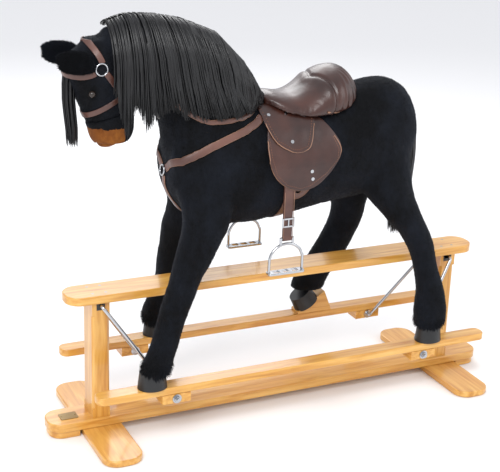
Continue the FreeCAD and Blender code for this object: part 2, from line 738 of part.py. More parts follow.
def station(skin, axis, at, step=3.0):
    """The skin's point and outward direction where a line along the axis meets it."""
    a, b = [i for i in range(3) if i != axis]
    point, out = list(at), [0.0, 0.0, 0.0]
    point[axis] = reach(skin, a, b, at[a], at[b])
    out[axis] = 1.0
    for k, (da, db) in ((a, (step, 0)), (b, (0, step))):
        ahead = reach(skin, a, b, at[a] + da, at[b] + db)
        behind = reach(skin, a, b, at[a] - da, at[b] - db)
        out[k] = (behind - ahead) / (2 * step)
    return V(*point), V(*out).normalize(), axis


def laid(skin, stations, width):
    """Rows of corners of a strap that lies on the skin through the stations."""
    rows = []
    for i, (at, out, axis) in enumerate(stations):
        before = stations[max(i - 1, 0)][0]
        after = stations[min(i + 1, len(stations) - 1)][0]
        if i == len(stations) - 1 and at.y == 0:
            before, after = V(0, 1, 0), V(0, -1, 0)
        across = out.cross(after - before).normalize() * (width / 2)
        a, b = [k for k in range(3) if k != axis]
        inner = []
        for corner in (at + across, at - across):
            corner[axis] = max(corner[axis], reach(skin, a, b, corner[a], corner[b]))
            inner.append(corner + out * STRAP_LIFT)
        first, second = inner
        rows.append([first, second, second + out * STRAP_THICK, first + out * STRAP_THICK])
    return rows


def mirrored(rows):
    return [[V(p.x, -p.y, p.z) for p in row] for row in rows]


def halved(line):
    """The line's points with one more midway along each run."""
    out = [line[0]]
    for p, q in zip(line, line[1:]):
        out += [tuple((m + n) / 2 for m, n in zip(p, q)), q]
    return out


def laid_reins(skin):
    """One strap along each side of the neck, joined over the withers."""
    line = [(436, 944), (418, 922), (400, 902), (380, 880), (358, 861), (334, 844), (310, 829),
            (285, 816), (259, 809), (233, 807), (203, 809), (173, 813), (148, 820), (126, 829)]
    stations = [station(skin, 1, (x, 0, z)) for x, z in halved(line)]
    stations.append(station(skin, 2, (88, 0, 0)))
    near = laid(skin, stations, REIN_WIDTH)
    return skinned(near + mirrored(near[-2::-1]))


def laid_collar(skin):
    """A strap on each side, round the front of the chest from its ring to the saddle."""
    front = [(15, 677), (30, 681), (44, 686)]
    side = [(318, 692), (300, 706), (276, 722), (251, 738), (228, 751), (206, 764), (184, 775),
            (162, 784), (144, 793)]
    stations = [station(skin, 0, (0, y, z)) for y, z in front]
    stations += [station(skin, 1, (x, 0, z)) for x, z in halved(side)]
    near = laid(skin, stations, COLLAR_WIDTH)
    return [skinned(near), skinned(mirrored(near[::-1]))]


def stirrup_leather(side, drop):
    """A doubled strap with a loop at its foot, which holds the stirrup's eye."""
    eye = EYE_Z - drop
    half = LEATHER_WIDTH / 2
    middle = (LEATHER_Y0 + LEATHER_Y1) / 2
    strap = box(LEATHER_X - half, LEATHER_X + half, LEATHER_Y0, LEATHER_Y1, eye, LEATHER_TOP)
    loop = cylinder(V(LEATHER_X - half, middle, eye), X_AXIS, 6.0, LEATHER_WIDTH)
    hole = cylinder(V(LEATHER_X - half, middle, eye), X_AXIS, 3.06, LEATHER_WIDTH)
    leather = fused([strap, loop]).cut(hole)
    z = eye + 44
    frame = box(LEATHER_X - 17, LEATHER_X + 17, LEATHER_Y1, LEATHER_Y1 + 3.5, z - 12, z + 12)
    window = box(LEATHER_X - 13, LEATHER_X + 13, 0, WALL, z - 8, z + 8)
    tongue = box(LEATHER_X - 1.6, LEATHER_X + 1.6, LEATHER_Y1, LEATHER_Y1 + 3.5, z - 12, z + 12)
    buckle = frame.cut(window).fuse(tongue)
    if side < 0:
        return mirror_y(leather), mirror_y(buckle)
    return leather, buckle


def stirrup_iron(side, drop):
    """An arch with a flat tread, hung by the bar of its eye."""
    eye = EYE_Z - drop
    y = (LEATHER_Y0 + LEATHER_Y1) / 2
    x = LEATHER_X
    wide = IRON_HALF_WIDTH
    half_eye = LEATHER_WIDTH / 2 + 4
    crown = eye - 14
    foot = eye - IRON_DROP
    bar = cylinder(V(x - half_eye, y, eye), X_AXIS, 3.0, 2 * half_eye)
    lugs = [box(x + s * half_eye - 2.5, x + s * half_eye + 2.5, y - 3, y + 3, crown - 3, eye + 3)
            for s in (1, -1)]
    points = []
    for i in range(13):
        angle = math.pi * i / 12
        points.append(V(x + wide * math.cos(angle), y, foot + 30 + (crown - foot - 30) * math.sin(angle)))
    arch = Part.BSplineCurve()
    arch.interpolate(points, InitialTangent=Z_AXIS, FinalTangent=-Z_AXIS)
    legs = [Part.LineSegment(V(x + wide, y, foot), points[0]),
            Part.LineSegment(points[-1], V(x - wide, y, foot))]
    path = Part.Wire([legs[0].toShape(), arch.toShape(), legs[1].toShape()])
    start = Part.Wire(Part.Circle(V(x + wide, y, foot), Z_AXIS, 3.6).toShape())
    bow = path.makePipeShell([start], True, False)
    tread = plank((x, y), 2 * wide + 9, 26, foot - 5, 6, 8, 1.2)
    slots = [box(x + dx - 9, x + dx + 9, y - 8, y + 8, foot - 9, foot + 9) for dx in (-26, 0, 26)]
    tread = tread.cut(Part.makeCompound(slots))
    iron = fused([bar] + lugs + [bow, tread])
    return mirror_y(iron) if side < 0 else iron


def make_stirrups():
    for name, side in SIDES.items():
        drop = 0.0 if side > 0 else FAR_LEATHER_DROP
        leather, buckle = stirrup_leather(side, drop)
        parts[name + "_leather"] = leather
        parts[name + "_buckle"] = buckle
        parts[name + "_stirrup"] = stirrup_iron(side, drop)


# Each soft part that lies against others, with the parts that are cut out of it.
TRIMS = [
    ("saddle_seat", ("neck",)),
    ("near_skirt", ("neck", "torso")),
    ("far_skirt", ("neck", "torso")),
    ("noseband", ("neck", "inner_frame")),
    ("throat_strap", ("neck",)),
    ("crownpiece", ("neck",)),
    ("tack_rings", ("ears",)),
    ("reins", ("torso", "neck", "saddle_seat", "near_skirt", "far_skirt")),
    ("breast_straps", ("torso", "neck", "near_skirt", "far_skirt")),
]


def trim(name, others):
    """Cuts the other parts out of each solid of a part, and keeps what is left of it."""
    solids = []
    for solid in parts[name].Solids:
        for other in others:
            solid = biggest(solid.cut(parts[other]))
        solids.append(solid)
    parts[name] = Part.makeCompound(solids)


def make_all():
    make_stand()
    make_irons()
    make_rails()
    make_horse(torso_form(0.0), neck_form(0.0), head_form(0.0))
    make_saddle()
    make_tack()
    make_hair()
    make_stirrups()
    for name, others in TRIMS:
        trim(name, others)


def write(folder):
    os.makedirs(folder, exist_ok=True)
    for name, shape in sorted(parts.items()):
        solids = shape.Solids
        bad = [s for s in solids if not s.isValid() or s.Volume < 1.0]
        print(name, len(solids), "solids", round(sum(s.Volume for s in solids)), "BAD" if bad else "")
        shape = solids[0] if len(solids) == 1 else Part.makeCompound(solids)
        shape.exportStep(os.path.join(folder, name + ".step"))


def main():
    make_all()
    write("parts")


if __name__ == "__main__":
    main()
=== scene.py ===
"""The look of the plush horse on its swinging stand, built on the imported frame, in metres."""
import json
import math
import random

import bmesh
import bpy
import numpy as np
from mathutils import Matrix, Vector, noise
from mathutils.bvhtree import BVHTree

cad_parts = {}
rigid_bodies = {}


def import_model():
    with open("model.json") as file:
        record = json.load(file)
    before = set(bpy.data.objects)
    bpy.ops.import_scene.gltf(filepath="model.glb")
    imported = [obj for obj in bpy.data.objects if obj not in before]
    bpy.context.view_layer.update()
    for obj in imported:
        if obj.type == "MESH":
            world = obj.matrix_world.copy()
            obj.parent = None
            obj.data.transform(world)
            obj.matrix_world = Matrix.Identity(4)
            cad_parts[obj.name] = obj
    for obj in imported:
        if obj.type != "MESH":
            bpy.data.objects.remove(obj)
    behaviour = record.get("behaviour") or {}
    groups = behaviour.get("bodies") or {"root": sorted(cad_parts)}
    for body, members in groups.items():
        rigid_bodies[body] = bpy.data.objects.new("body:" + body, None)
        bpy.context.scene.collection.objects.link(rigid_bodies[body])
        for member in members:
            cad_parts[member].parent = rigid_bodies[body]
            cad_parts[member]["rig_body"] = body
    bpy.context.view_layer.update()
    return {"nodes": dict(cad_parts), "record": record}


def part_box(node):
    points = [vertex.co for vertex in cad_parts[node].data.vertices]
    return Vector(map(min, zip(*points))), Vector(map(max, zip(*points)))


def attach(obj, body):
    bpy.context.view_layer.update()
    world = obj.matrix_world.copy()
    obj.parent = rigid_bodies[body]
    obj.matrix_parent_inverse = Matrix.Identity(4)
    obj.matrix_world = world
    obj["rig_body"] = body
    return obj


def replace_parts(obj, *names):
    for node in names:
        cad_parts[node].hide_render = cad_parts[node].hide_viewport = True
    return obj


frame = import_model()
nodes = frame["nodes"]
SLOTS = {part["node"]: part["material_slot"] for part in frame["record"]["subparts"]}
BODY = {name: obj["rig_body"] for name, obj in nodes.items()}
random.seed(7)


# --- materials -----------------------------------------------------------
def shader(name, colour, rough, **sockets):
    """A new material, with its node tree and its Principled shader."""
    mat = bpy.data.materials.new(name)
    mat.use_nodes = True
    tree = mat.node_tree
    bsdf = tree.nodes["Principled BSDF"]
    bsdf.inputs["Base Color"].default_value = (*colour, 1)
    bsdf.inputs["Roughness"].default_value = rough
    for key, value in sockets.items():
        bsdf.inputs[key.replace("_", " ")].default_value = value
    return mat, tree, bsdf


def texture(tree, kind, scale, stretch=(1, 1, 1), **values):
    """A procedural texture in the object's own metres, stretched along its axes."""
    place = tree.nodes.new("ShaderNodeTexCoord")
    mapping = tree.nodes.new("ShaderNodeMapping")
    mapping.inputs["Scale"].default_value = stretch
    tree.links.new(place.outputs["Object"], mapping.inputs["Vector"])
    tex = tree.nodes.new(kind)
    tex.inputs["Scale"].default_value = scale
    for key, value in values.items():
        tex.inputs[key].default_value = value
    tree.links.new(mapping.outputs["Vector"], tex.inputs["Vector"])
    return tex


def ramp(tree, source, stops, socket):
    """Takes source through stops of (place, colour) into a shader socket."""
    node = tree.nodes.new("ShaderNodeValToRGB")
    elements = node.color_ramp.elements
    while len(elements) < len(stops):
        elements.new(0.5)
    for element, (place, colour) in zip(elements, stops):
        element.position = place
        element.color = (*colour, 1) if len(colour) == 3 else (colour[0],) * 3 + (1,)
    tree.links.new(source, node.inputs["Fac"])
    tree.links.new(node.outputs["Color"], socket)


def bumped(tree, bsdf, source, strength, distance, under=None):
    """Source raises the surface by distance, on top of an earlier bump."""
    node = tree.nodes.new("ShaderNodeBump")
    node.inputs["Strength"].default_value = strength
    node.inputs["Distance"].default_value = distance
    tree.links.new(source, node.inputs["Height"])
    if under:
        tree.links.new(under.outputs["Normal"], node.inputs["Normal"])
    tree.links.new(node.outputs["Normal"], bsdf.inputs["Normal"])
    return node


GRAIN_ACROSS = 9.0
GRAIN_ALONG = 0.7


def wood(axis):
    """Lacquered honey pine with its grain along one axis."""
    stretch = [GRAIN_ACROSS] * 3
    stretch[axis] = GRAIN_ALONG
    mat, tree, bsdf = shader("wood_" + "xyz"[axis], (0.6, 0.33, 0.1), 0.3, Coat_Weight=0.45,
                             Coat_Roughness=0.12)
    grain = texture(tree, "ShaderNodeTexNoise", 7.0, stretch, Detail=9.0, Distortion=0.9)
    ramp(tree, grain.outputs["Fac"], [(0.28, (0.50, 0.205, 0.028)), (0.46, (0.62, 0.30, 0.055)),
                                      (0.6, (0.71, 0.385, 0.088)), (0.76, (0.77, 0.46, 0.135))],
         bsdf.inputs["Base Color"])
    fine = [v * 5 for v in stretch]
    pores = texture(tree, "ShaderNodeTexNoise", 14.0, fine, Detail=4.0)
    bumped(tree, bsdf, pores.outputs["Fac"], 0.12, 0.0006)
    return mat


def leather(name, dark, light, rough):
    """Waxed leather: clouded colour, a fine pebble and soft creases."""
    mat, tree, bsdf = shader(name, dark, rough, Coat_Weight=0.25, Coat_Roughness=0.25)
    cloud = texture(tree, "ShaderNodeTexNoise", 11.0, Detail=5.0)
    ramp(tree, cloud.outputs["Fac"], [(0.35, dark), (0.7, light)], bsdf.inputs["Base Color"])
    pebble = texture(tree, "ShaderNodeTexVoronoi", 520.0)
    first = bumped(tree, bsdf, pebble.outputs["Distance"], 0.28, 0.0005)
    crease = texture(tree, "ShaderNodeTexNoise", 46.0, (1, 1, 1.8), Detail=3.0)
    bumped(tree, bsdf, crease.outputs["Fac"], 0.3, 0.0018, first)
    return mat


def pile(name, dark, light, sheen, length=0.0016):
    """Short-pile plush: fine tufts with a soft sheen."""
    mat, tree, bsdf = shader(name, dark, 0.8, Sheen_Weight=sheen, Sheen_Roughness=0.4,
                             Specular_IOR_Level=0.16)
    bsdf.inputs["Sheen Tint"].default_value = (0.55, 0.62, 0.8, 1)
    cloud = texture(tree, "ShaderNodeTexNoise", 9.0, (1, 1, 0.6), Detail=9.0, Roughness=0.68)
    ramp(tree, cloud.outputs["Fac"], [(0.42, dark), (0.66, light)], bsdf.inputs["Base Color"])
    nap = texture(tree, "ShaderNodeTexNoise", 34.0, (1, 1, 0.5), Detail=3.0)
    first = bumped(tree, bsdf, nap.outputs["Fac"], 0.35, 0.004)
    fine = texture(tree, "ShaderNodeTexNoise", 720.0, Detail=2.0)
    bumped(tree, bsdf, fine.outputs["Fac"], 0.8, length, first)
    return mat


def metal(name, colour, rough, streak=0.06):
    """Bare or plated metal, duller in streaks."""
    mat, tree, bsdf = shader(name, colour, rough, Metallic=1.0)
    marks = texture(tree, "ShaderNodeTexNoise", 90.0, Detail=5.0)
    ramp(tree, marks.outputs["Fac"], [(0.3, (rough,)), (0.8, (rough + streak,))],
         bsdf.inputs["Roughness"])
    return mat


def moulded(name, colour, rough):
    """Moulded plastic or paint, with a fine skin and a faint cloud."""
    mat, tree, bsdf = shader(name, colour, rough)
    grit = texture(tree, "ShaderNodeTexNoise", 420.0, Detail=2.0)
    bumped(tree, bsdf, grit.outputs["Fac"], 0.12, 0.0003)
    cloud = texture(tree, "ShaderNodeTexNoise", 18.0, Detail=3.0)
    light = tuple(min(1.0, c * 1.5 + 0.01) for c in colour)
    ramp(tree, cloud.outputs["Fac"], [(0.4, colour), (0.8, light)], bsdf.inputs["Base Color"])
    return mat


def hair_fibre():
    """Glossy black fibre, streaked along its fall."""
    mat, tree, bsdf = shader("hair_fibre", (0.004, 0.004, 0.005), 0.33)
    streak = texture(tree, "ShaderNodeTexNoise", 60.0, (4, 4, 0.3), Detail=3.0)
    ramp(tree, streak.outputs["Fac"],
         [(0.4, (0.0009, 0.0009, 0.0012)), (0.75, (0.0065, 0.007, 0.0085))],
         bsdf.inputs["Base Color"])
    return mat


MATERIALS = {
    "plate_metal": metal("plate_metal", (0.30, 0.22, 0.11), 0.35),
    "zinc": metal("zinc", (0.34, 0.32, 0.28), 0.34),
    "bearing_plastic": moulded("bearing_plastic", (0.02, 0.02, 0.021), 0.45),
    "chrome": metal("chrome", (0.50, 0.51, 0.53), 0.08, 0.05),
    "bush_brass": metal("bush_brass", (0.70, 0.52, 0.22), 0.28),
    "frame_paint": moulded("frame_paint", (0.02, 0.02, 0.022), 0.4),
    "plush": pile("plush", (0.0008, 0.001, 0.0018), (0.0062, 0.0082, 0.0135), 0.05),
    "muzzle_tan": pile("muzzle_tan", (0.16, 0.05, 0.009), (0.40, 0.15, 0.022), 0.05, 0.001),
    "eye": moulded("eye", (0.015, 0.009, 0.006), 0.05),
    "hoof": moulded("hoof", (0.005, 0.0055, 0.0065), 0.4),
    "hair": hair_fibre(),
    "saddle_leather": leather("saddle_leather", (0.022, 0.0065, 0.0045), (0.062, 0.02, 0.013), 0.33),
    "panel_felt": pile("panel_felt", (0.03, 0.018, 0.015), (0.06, 0.04, 0.03), 0.15, 0.0008),
    "strap_leather": leather("strap_leather", (0.07, 0.026, 0.018), (0.14, 0.058, 0.04), 0.42),
}
WOOD = [wood(axis) for axis in range(3)]
THREAD = pile("tan_thread", (0.13, 0.06, 0.04), (0.22, 0.11, 0.075), 0.05, 0.0003)
EDGING = leather("tan_edge", (0.20, 0.095, 0.055), (0.34, 0.18, 0.11), 0.5)
LIP_PINK = pile("lip_pink", (0.24, 0.11, 0.09), (0.36, 0.19, 0.16), 0.05, 0.0006)


def dress(obj, mat):
    """The object wears this one material."""
    obj.data.materials.clear()
    obj.data.materials.append(mat)


for name, obj in nodes.items():
    if SLOTS[name] == "wood":
        low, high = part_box(name)
        size = high - low
        dress(obj, WOOD[max(range(3), key=lambda i: size[i])])
    else:
        dress(obj, MATERIALS[SLOTS[name]])


# --- making pieces -------------------------------------------------------
def placed(name, data):
    """A new object for the data, in the scene."""
    obj = bpy.data.objects.new(name, data)
    bpy.context.scene.collection.objects.link(obj)
    return obj


def piece(name, verts, faces, body, slot, mat=None):
    """A smooth piece of these points and faces, riding on a body."""
    mesh = bpy.data.meshes.new(name)
    mesh.from_pydata([tuple(v) for v in verts], [], faces)
    mesh.validate()
    obj = placed(name, mesh)
    dress(obj, mat or MATERIALS[slot])
    for face in mesh.polygons:
        face.use_smooth = True
    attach(obj, body)
    return obj


def apply_modifiers(obj):
    """The object's mesh becomes what its modifiers make of it."""
    graph = bpy.context.evaluated_depsgraph_get()
    made = bpy.data.meshes.new_from_object(obj.evaluated_get(graph))
    obj.modifiers.clear()
    mats = list(obj.data.materials)
    obj.data = made
    made.materials.clear()
    for mat in mats:
        made.materials.append(mat)
    for face in made.polygons:
        face.use_smooth = True


def grown_from(name, sources, voxel, rounds):
    """A smooth piece in place of CAD solids, remade from their joined meshes."""
    work = bmesh.new()
    for source in sources:
        work.from_mesh(nodes[source].data)
    mesh = bpy.data.meshes.new(name)
    work.to_mesh(mesh)
    work.free()
    obj = placed(name, mesh)
    slot = SLOTS[sources[0]]
    dress(obj, MATERIALS[slot])
    remesh = obj.modifiers.new("remesh", "REMESH")
    remesh.mode = "VOXEL"
    remesh.voxel_size = voxel
    soft = obj.modifiers.new("smooth", "SMOOTH")
    soft.iterations = rounds
    soft.factor = 0.5
    apply_modifiers(obj)
    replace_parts(obj, *sources)
    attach(obj, BODY[sources[0]])
    return obj


def pushed(obj, amount):
    """Each point moves along its normal by amount(point)."""
    moves = [(v.index, v.normal * amount(v.co)) for v in obj.data.vertices]
    for index, move in moves:
        obj.data.vertices[index].co += move
    obj.data.update()


def lumps(height, pitch):
    """An uneven surface, for pushed: how high its lumps are, and how many to a metre."""
    return lambda p: height * noise.noise(p * pitch)


def dip(distance, width):
    """1 at no distance, falling smoothly to 0 over about twice the width."""
    return math.exp(-(distance / width) ** 2)


def inflated(obj, pressure, frames, cap):
    """Air pressure fills the piece for a few frames; no point moves further than cap."""
    start = [v.co.copy() for v in obj.data.vertices]
    cloth = obj.modifiers.new("cloth", "CLOTH")
    cloth.settings.use_pressure = True
    cloth.settings.uniform_pressure_force = pressure
    cloth.settings.effector_weights.gravity = 0
    cloth.point_cache.frame_start = 1
    cloth.point_cache.frame_end = frames
    for step in range(1, frames + 1):
        bpy.context.scene.frame_set(step)
    apply_modifiers(obj)
    for vert, was in zip(obj.data.vertices, start):
        move = vert.co - was
        if move.length > cap:
            vert.co = was + move * (cap / move.length)
    bpy.context.scene.frame_set(1)


def tree_of(obj):
    """A tree of the object's faces, to find points on its skin."""
    return BVHTree.FromObject(obj, bpy.context.evaluated_depsgraph_get())


def mirrored(points):
    """The points on the other side of the horse."""
    return [(x, -y, z) for x, y, z in points]


def smooth_line(points, count):
    """count points on a smooth curve through the points."""
    ends = [points[0] * 2 - points[1]] + list(points) + [points[-1] * 2 - points[-2]]
    out = []
    for i in range(count):
        t = i / (count - 1) * (len(points) - 1)
        k = min(int(t), len(points) - 2)
        t -= k
        a, b, c, d = ends[k:k + 4]
        out.append(0.5 * (2 * b + (c - a) * t + (2 * a - 5 * b + 4 * c - d) * t * t
                          + (3 * b - a - 3 * c + d) * t ** 3))
    return out


def ahead_at(path, i):
    """The path's direction at its point i."""
    return (path[min(i + 1, len(path) - 1)] - path[max(i - 1, 0)]).normalized()


def band(base, sides):
    """The faces that join the ring of points starting at base to the ring before it."""
    last = base - sides
    turns = [(k, (k + 1) % sides) for k in range(sides)]
    return [(last + k, last + j, base + j, base + k) for k, j in turns]


def caps(rings, sides):
    """The faces that close the two ends of a run of rings."""
    last = (rings - 1) * sides
    return [tuple(range(sides))[::-1], tuple(range(last, last + sides))]


def tube(name, path, radius, body, sides=6):
    """A round cord of pale edging leather through the path's points."""
    verts, faces = [], []
    for i, at in enumerate(path):
        ahead = ahead_at(path, i)
        side = ahead.cross(Vector((0.1, 0.2, 1))).normalized()
        up = side.cross(ahead)
        for k in range(sides):
            a = math.tau * k / sides
            verts.append(at + (side * math.cos(a) + up * math.sin(a)) * radius)
        if i:
            faces += band(i * sides, sides)
    piece(name, verts, faces + caps(len(path), sides), body, "strap_leather", EDGING)


def along(points, gap):
    """Points at an even gap along a run of straight lines, with their directions."""
    out, left = [], 0.0
    for a, b in zip(points, points[1:]):
        run = b - a
        while left < run.length:
            out.append((a + run * (left / run.length), run.normalized()))
            left += gap
        left -= run.length
    return out


STITCH_GAP = 0.006
STITCH_REACH = STITCH_GAP * 0.32
STITCH_INSET = 0.007
STITCH_HALF_WIDTH = 0.0009
STITCH_HEIGHT = 0.0008
STITCH_LIFT = 0.0002
# Each cross-section of a stitch: its place along the stitch, its width and its height.
STITCH_SECTIONS = ((-1, 0.3, 0.2), (-0.5, 1, 1), (0.5, 1, 1), (1, 0.3, 0.2))
OUTSIDE = 0.4


def stitching(name, outline, target, side):
    """A row of thread stitches laid on a leather panel, just inside its outline (x, z in mm)."""
    tree = tree_of(target)
    ring = [Vector((x / 1000, 0, z / 1000)) for x, z in outline]
    centre = sum(ring, Vector()) / len(ring)
    ring = [centre + (p - centre) * (1 - STITCH_INSET / (p - centre).length) for p in ring]
    verts, faces = [], []
    for at, ahead in along(ring, STITCH_GAP):
        hit, normal, _, _ = tree.ray_cast(Vector((at.x, side * OUTSIDE, at.z)), Vector((0, -side, 0)))
        if hit is None:
            continue
        ahead = (ahead - normal * ahead.dot(normal)).normalized()
        across = normal.cross(ahead)
        base = len(verts)
        for t, w, h in STITCH_SECTIONS:
            for c, n in ((-1, 0), (0, 1), (1, 0)):
                verts.append(hit + ahead * (t * STITCH_REACH) + across * (c * w * STITCH_HALF_WIDTH)
                             + normal * (STITCH_LIFT + n * h * STITCH_HEIGHT))
        for i in range(3):
            for k in range(2):
                a = base + i * 3 + k
                faces.append((a, a + 1, a + 4, a + 3))
    piece(name, verts, faces, "carriage", "strap_leather", THREAD)


LOCK_TAPER = 0.85
# The corners of a lock of hair, in its half width: flat, and less than half as thick as wide.
LOCK_SECTION = ((1, 0), (0, 0.45), (-1, 0), (0, -0.45))


def strands(name, node, routes, thick):
    """Tapered locks of hair along routes of points, in place of a CAD solid."""
    verts, faces = [], []
    for route in routes:
        for i, at in enumerate(route):
            ahead = ahead_at(route, i)
            side = ahead.cross(Vector((0, 1, 0.15))).normalized()
            up = side.cross(ahead)
            t = i / (len(route) - 1)
            width = thick * (1 - LOCK_TAPER * t ** 3)
            if i:
                faces += band(len(verts), len(LOCK_SECTION))
            for c, s in LOCK_SECTION:
                verts.append(at + side * (c * width) + up * (s * width))
    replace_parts(piece(name, verts, faces, BODY[node], "hair"), node)


def between(rows, x):
    """The row's values at x, on straight lines between rows sorted by their first value."""
    if x <= rows[0][0]:
        return rows[0][1:]
    for a, b in zip(rows, rows[1:]):
        if x <= b[0]:
            t = (x - a[0]) / (b[0] - a[0])
            return tuple(p + (q - p) * t for p, q in zip(a[1:], b[1:]))
    return rows[-1][1:]


def disc():
    """A random place in a disc of radius 1."""
    angle = random.uniform(0, math.tau)
    r = math.sqrt(random.random())
    return r * math.cos(angle), r * math.sin(angle)


FIBRE_WIDTH = 0.1
FIBRE_SPREAD = 0.28
FIBRE_LIE, FIBRE_RISE = 0.86, 0.45
TINY = 1e-12


def unit(rows):
    """Each row of an array, at length 1."""
    return rows / np.maximum(np.linalg.norm(rows, axis=1, keepdims=True), TINY)


def tufts(name, source, count, length, lean, keep=None):
    """Short fibres of pile over a piece, leaning along lean. keep says where they grow."""
    mesh = source.data
    mesh.calc_loop_triangles()
    points = np.array([v.co for v in mesh.vertices])
    corners = np.array([t.vertices for t in mesh.loop_triangles])
    a, b, c = points[corners[:, 0]], points[corners[:, 1]], points[corners[:, 2]]
    cross = np.cross(b - a, c - a)
    area = np.linalg.norm(cross, axis=1)
    if keep:
        area = area * np.array([keep(Vector(p)) for p in (a + b + c) / 3])
    rng = np.random.default_rng(11)
    chosen = rng.choice(len(area), count, p=area / area.sum())
    u, v = rng.random((2, count, 1))
    u, v = np.where(u + v > 1, 1 - u, u), np.where(u + v > 1, 1 - v, v)
    root = a[chosen] * (1 - u - v) + b[chosen] * u + c[chosen] * v
    out = unit(cross[chosen])
    lie = np.array(lean) + rng.normal(0, FIBRE_SPREAD, (count, 3))
    lie = unit(lie - out * (lie * out).sum(1, keepdims=True))
    side = np.cross(out, lie) * (FIBRE_WIDTH * length)
    tip = root + (lie * FIBRE_LIE + out * FIBRE_RISE) * length * rng.uniform(0.6, 1.1, (count, 1))
    verts = np.stack([root - side, root + side, tip], axis=1).reshape(-1, 3)
    made = bpy.data.meshes.new(name)
    made.from_pydata(verts.tolist(), [], np.arange(count * 3).reshape(-1, 3).tolist())
    obj = placed(name, made)
    dress(obj, MATERIALS["plush"])
    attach(obj, "carriage")


STRAP_THICK = 0.003
STRAP_LIFT = 0.0008
# The corners of a strap's section: across it in half widths, and up it in thicknesses.
STRAP_SECTION = ((-1, 0.2), (-1, 0.8), (-0.8, 1), (0.8, 1), (1, 0.8), (1, 0.2))
EDGE_R = 0.0009
NEARBY = range(-3, 4)


def draped(name, tree, points, width, count=70):
    """A leather strap laid on the plush along the points (mm), with pale cut edges."""
    line = smooth_line([Vector(p) / 1000 for p in points], count)
    seats = [tree.find_nearest(p)[:2] for p in line]
    half = width / 2000
    verts, faces, edges = [], [], ([], [])
    for i, (at, _) in enumerate(seats):
        near = [seats[max(0, min(count - 1, i + k))][1] for k in NEARBY]
        out = sum(near, Vector()).normalized()
        ahead = seats[min(i + 1, count - 1)][0] - seats[max(i - 1, 0)][0]
        across = out.cross(ahead).normalized()
        if i:
            faces += band(len(verts), len(STRAP_SECTION))
        for w, h in STRAP_SECTION:
            verts.append(at + across * (w * half) + out * (STRAP_LIFT + h * STRAP_THICK))
        for edge, sign in zip(edges, (-1, 1)):
            edge.append(at + across * (sign * half) + out * (STRAP_LIFT + 0.5 * STRAP_THICK))
    faces += caps(count, len(STRAP_SECTION))
    strap = piece(name, verts, faces, "carriage", "strap_leather")
    for k, edge in enumerate(edges):
        tube(f"{name}_edge_{k}", edge, EDGE_R, "carriage")
    return strap


# --- the plush body ------------------------------------------------------
SKIN_NODES = ["torso", "neck", "head", "near_fore_leg", "far_fore_leg", "near_hind_leg",
              "far_hind_leg"]
HEM_Z = 0.232
skin = grown_from("plush_skin", SKIN_NODES, 0.0055, 14)
pushed(skin, lambda p: lumps(0.0022, 17)(p) + lumps(0.0009, 55)(p))
tufts("plush_pile", skin, 150000, 0.0048, (-0.35, 0, -1))
tufts("hoof_fringe", skin, 2600, 0.015, (0, 0, -1), lambda p: p.z < HEM_Z)

NOSTRIL = Vector((0.512, 0.036, 0.792))
NOSTRIL_R, NOSTRIL_DEEP = 0.009, 0.010
MOUTH_Z = 0.756
MOUTH_FRONT = 0.515
MOUTH_WIDE, MOUTH_DEEP = 0.0035, 0.005
MUZZLE_FULL = 0.0016
PATCH_TOP = 0.797
PATCH_BACK = 0.452
LIP_FRONT = 0.487
TAN, DARK, PINK = range(3)


def muzzle_shape(p):
    """The nostrils and the line of the mouth, in a slightly full muzzle."""
    hollow = NOSTRIL_DEEP * dip((Vector((p.x, abs(p.y), p.z)) - NOSTRIL).length, NOSTRIL_R)
    slit = MOUTH_DEEP * dip(p.z - MOUTH_Z, MOUTH_WIDE) if p.x < MOUTH_FRONT else 0.0
    return MUZZLE_FULL - hollow - slit + lumps(0.0008, 60)(p)


muzzle = grown_from("plush_muzzle", ["muzzle"], 0.0022, 10)
pushed(muzzle, muzzle_shape)
muzzle.data.materials.append(MATERIALS["plush"])
muzzle.data.materials.append(LIP_PINK)
for face in muzzle.data.polygons:
    at = face.center
    dark = at.z > PATCH_TOP + lumps(0.004, 90)(at) or at.x < PATCH_BACK
    lip = at.z < MOUTH_Z and at.x < LIP_FRONT
    face.material_index = PINK if lip else DARK if dark else TAN

EAR_HOLLOW_Z = 0.965
ears = grown_from("plush_ears", ["ears"], 0.0018, 10)
pushed(ears, lambda p: -0.0035 * dip(p.z - EAR_HOLLOW_Z, 0.016) + lumps(0.0006, 70)(p))
tufts("ear_fur", ears, 9000, 0.009, (1, 0, 0.15))

# --- hair ----------------------------------------------------------------
# Each row of the mane: x, top, hem and half width, in mm.
MANE = [
    (92, 866, 846, 50), (150, 948, 826, 93), (220, 1014, 822, 100), (300, 1046, 826, 98),
    (360, 1058, 852, 93), (415, 1063, 808, 89), (440, 1063, 860, 88), (460, 1058, 786, 86),
    (490, 1048, 884, 82),
]
MANE_BACK = 90
MANE_ROOTS = (94, 488)
MANE_SWEEP = 350
MANE_LEAN = 62
MANE_FALL = 130
# A lock's points over the crest, and down from there, and the angles it turns over the crest.
OVER, DOWN = 8, 4
START_TURN, WHOLE_TURN = -24, 112
# Each layer of the mane: its depth under the outermost, in mm, and its number of locks.
MANE_LAYERS = ((9.0, 300), (4.5, 330), (1.0, 330))


